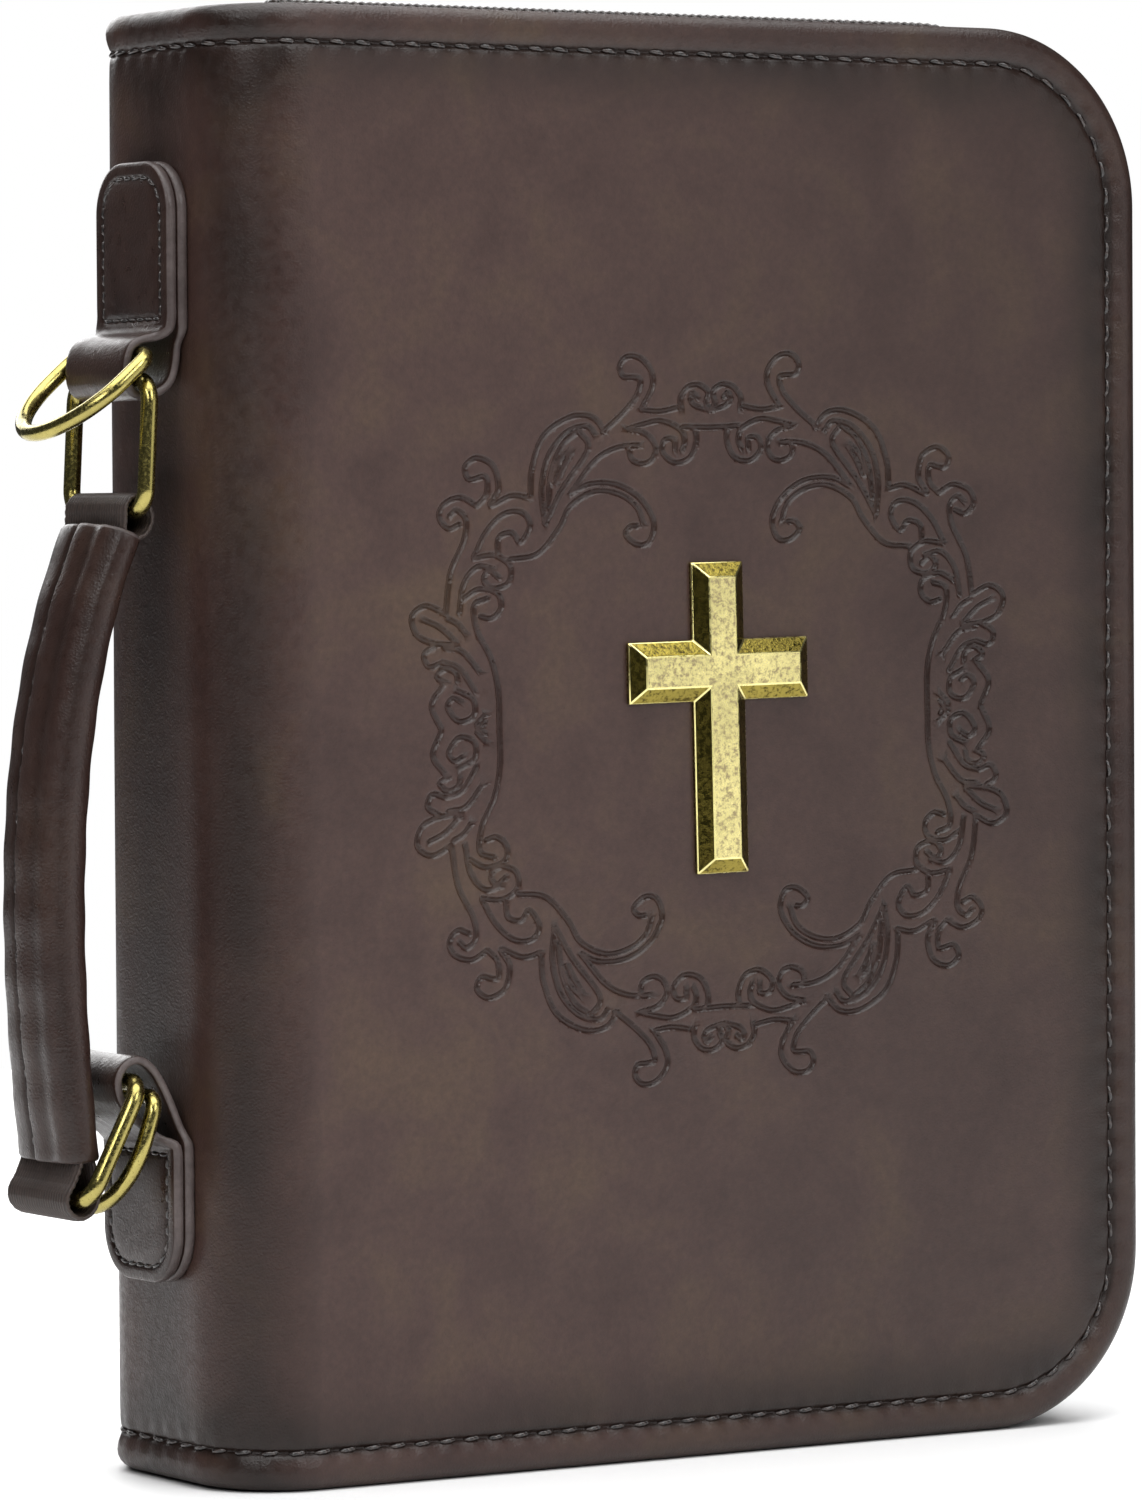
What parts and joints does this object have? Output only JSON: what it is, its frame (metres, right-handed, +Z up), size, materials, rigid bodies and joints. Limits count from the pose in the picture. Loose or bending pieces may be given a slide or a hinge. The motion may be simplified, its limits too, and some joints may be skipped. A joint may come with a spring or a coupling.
{
  "type": "zipped bible cover with bible",
  "caption": "Zipped leather book cover with padded side handle, strap rings, cross emblem and embossed front, holding a thick bound book.",
  "frame": {"origin": "centre of the part's outer box at the ground, under its bottom edge", "axes": "+Z up along the spine, -X towards the spine and handle, -Y out of the front cover with the cross"},
  "size_m": [0.2388, 0.0608, 0.2714],
  "materials": {
    "leather": "pebbled dark brown leather, satin",
    "thread": "waxed dark brown thread",
    "zip_tape": "woven dark brown tape",
    "zip_teeth": "dark brown nylon coil",
    "brass": "antique brass, worn",
    "lining": "dark brown woven lining",
    "board": "grey-brown stiffener board",
    "webbing": "ribbed nylon webbing",
    "foam": "soft foam",
    "paper": "cream page edges",
    "bookcloth": "fine black bonded leather",
    "headband": "cream woven band",
    "ribbon": "dark red satin ribbon"
  },
  "bodies": {
    "spine": {"spine_leather": "leather", "spine_stiffener": "board", "spine_lining": "lining", "spine_stitching": "thread", "upper_tab": "leather", "lower_tab": "leather", "tab_stitching": "thread"},
    "front_cover": {"front_leather": "leather", "front_board": "board", "front_lining": "lining", "front_sleeve": "lining", "front_stitching": "thread", "front_zip_tape": "zip_tape", "front_zip_teeth": "zip_teeth", "cross_emblem": "brass", "cross_studs": "brass", "bible_front_board": "bookcloth"},
    "back_cover": {"back_leather": "leather", "back_board": "board", "back_lining": "lining", "back_sleeve": "lining", "back_stitching": "thread", "back_zip_tape": "zip_tape", "back_zip_teeth": "zip_teeth", "bible_pages": "paper", "bible_back_board": "bookcloth", "bible_spine_cover": "bookcloth", "bible_headbands": "headband", "bible_ribbon": "ribbon"},
    "upper_slider": {"upper_slider": "brass"},
    "lower_slider": {"lower_slider": "brass"},
    "upper_pull": {"upper_pull": "brass"},
    "lower_pull": {"lower_pull": "brass"},
    "upper_ring": {"upper_rect_ring": "brass"},
    "lower_ring": {"lower_rect_ring": "brass"},
    "handle": {"handle_sleeve": "leather", "handle_padding": "foam", "handle_webbing": "webbing", "handle_stitching": "thread"},
    "upper_dee": {"upper_d_ring": "brass"},
    "lower_dee": {"lower_d_ring": "brass"}
  },
  "joints": [
    {"name": "front_cover_hinge", "type": "hinge", "parent": "spine", "child": "front_cover", "pos_m": [-0.07295, -0.0276, 0.135], "axis": [0, 0, -1], "range_deg": [0, 90]},
    {"name": "back_cover_hinge", "type": "hinge", "parent": "spine", "child": "back_cover", "pos_m": [-0.07295, 0.0304, 0.135], "axis": [0, 0, 1], "range_deg": [0, 90]},
    {"name": "upper_slider_slide", "type": "slide", "parent": "back_cover", "child": "upper_slider", "axis": [0, 0, 1], "range_m": [0, 0.07]},
    {"name": "lower_slider_slide", "type": "slide", "parent": "back_cover", "child": "lower_slider", "axis": [0, 0, -1], "range_m": [0, 0.07]},
    {"name": "upper_pull_hinge", "type": "hinge", "parent": "upper_slider", "child": "upper_pull", "pos_m": [0.11795, 0.0014, 0.1467], "axis": [0, -1, 0], "range_deg": [0, 140]},
    {"name": "lower_pull_hinge", "type": "hinge", "parent": "lower_slider", "child": "lower_pull", "pos_m": [0.11795, 0.0014, 0.1233], "axis": [0, -1, 0], "range_deg": [0, 140]},
    {"name": "upper_d_ring_hinge", "type": "hinge", "parent": "spine", "child": "upper_dee", "pos_m": [-0.09825, 0.0014, 0.2066], "axis": [0, 1, 0], "range_deg": [0, 120]},
    {"name": "lower_d_ring_hinge", "type": "hinge", "parent": "spine", "child": "lower_dee", "pos_m": [-0.09815, 0.0014, 0.0718], "axis": [0, 1, 0], "range_deg": [-16, 3]},
    {"name": "handle_swing", "type": "hinge", "parent": "spine", "child": "upper_ring", "pos_m": [-0.09835, 0.0014, 0.2019], "axis": [0, 1, 0], "range_deg": [0, 45]},
    {"name": "handle_tilt", "type": "hinge", "parent": "upper_ring", "child": "handle", "pos_m": [-0.09958, 0.0014, 0.17843], "axis": [0, 1, 0], "range_deg": [-49, 0]},
    {"name": "lower_ring_swing", "type": "hinge", "parent": "spine", "child": "lower_ring", "pos_m": [-0.10135, 0.0014, 0.0746], "axis": [0, 1, 0], "range_deg": [0, 28]}
  ],
  "couplings": [
    {"joint": "handle_tilt", "follows": "handle_swing", "ratio": -1.08},
    {"joint": "lower_ring_swing", "follows": "handle_swing", "ratio": 0.61}
  ]
}
